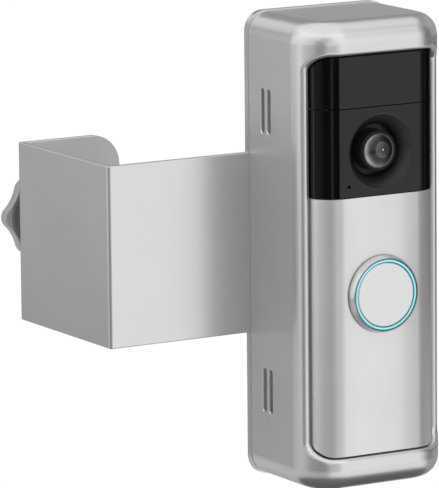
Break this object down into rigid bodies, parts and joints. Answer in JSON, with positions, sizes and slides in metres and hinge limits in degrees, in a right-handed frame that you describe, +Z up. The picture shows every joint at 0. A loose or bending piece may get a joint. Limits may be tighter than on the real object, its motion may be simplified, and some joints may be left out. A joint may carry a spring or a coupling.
{
  "type": "video doorbell",
  "caption": "Video doorbell with camera window and lit push button, held in a crowned silver cover on a bent sheet bracket that clamps round a door's edge with a star-knob screw.",
  "frame": {"origin": "centre of the foam face that lies on the outside of the door, behind the doorbell", "axes": "+X to the right seen from the street, +Y through the door into the room, +Z up"},
  "size_m": [0.1023, 0.1219, 0.1482],
  "materials": {
    "sheet_metal": "bead-blasted clear anodised sheet",
    "cover_paint": "silver metallic paint on moulded plastic, satin",
    "faceplate_metal": "vertical brushed, satin",
    "window_black": "high gloss black",
    "camera_black": "fine moulded satin black",
    "lens_glass": "coated glass",
    "lens_stop": "matt black",
    "bezel_metal": "turned, satin",
    "button_metal": "fine brushed, satin",
    "light_guide": "translucent, lit cyan",
    "knob_silver": "silver-grey moulded",
    "steel": "zinc plated",
    "rubber_black": "moulded",
    "foam_black": "closed-cell foam",
    "foam_grey": "closed-cell foam",
    "black_plastic": "moulded, matt",
    "board_green": "solder resist",
    "chip_black": "moulded",
    "cell_wrap": "shrink wrap",
    "led_clear": "clear moulded",
    "sensor_can": "nickel plated"
  },
  "bodies": {
    "bracket": {"door_bracket": "sheet_metal", "plate_pad": "foam_grey", "arm_pad": "foam_grey", "edge_pad": "foam_grey", "clamp_nut": "steel", "cover_shell": "cover_paint", "cover_screws": "steel", "lip_foam": "foam_black", "wall_plate": "black_plastic", "plate_screws": "steel", "rear_case": "black_plastic", "case_seal": "rubber_black", "case_screws": "steel", "front_frame": "black_plastic", "faceplate": "faceplate_metal", "faceplate_screw": "steel", "camera_window": "window_black", "sensor_window": "window_black", "motion_sensor": "sensor_can", "camera_cone": "camera_black", "lens_barrel": "camera_black", "front_lens": "lens_glass", "lens_iris": "lens_stop", "rear_lens": "lens_glass", "lens_holder": "black_plastic", "camera_board": "board_green", "image_sensor": "chip_black", "infrared_leds": "led_clear", "main_board": "board_green", "board_parts": "chip_black", "battery_pack": "cell_wrap", "speaker": "black_plastic", "microphone": "sensor_can", "mic_boot": "rubber_black", "button_bezel": "bezel_metal", "light_ring": "light_guide", "button_switch": "sensor_can", "button_board": "board_green", "ring_leds": "led_clear", "button_seal": "rubber_black"},
    "foot": {"clamp_foot": "black_plastic", "foot_pad": "rubber_black"},
    "screw": {"clamp_screw": "steel", "clamp_knob": "knob_silver", "knob_cap": "knob_silver"},
    "button": {"button_cap": "button_metal", "switch_plunger": "black_plastic"}
  },
  "joints": [
    {"name": "clamp_travel", "type": "slide", "parent": "bracket", "child": "foot", "axis": [0, -1, 0], "range_m": [-0.002, 0.0105]},
    {"name": "knob_turn", "type": "hinge", "parent": "foot", "child": "screw", "pos_m": [-0.0584, 0.06, 0.0016], "axis": [0, -1, 0], "range_deg": [-720, 3780]},
    {"name": "button_press", "type": "slide", "parent": "bracket", "child": "button", "axis": [0, 1, 0], "range_m": [0, 0.0004], "stiffness_N_per_m": 3000, "springref_m": -0.0002}
  ],
  "couplings": [
    {"joint": "knob_turn", "follows": "clamp_travel", "rad_per_m": 6283.2}
  ]
}
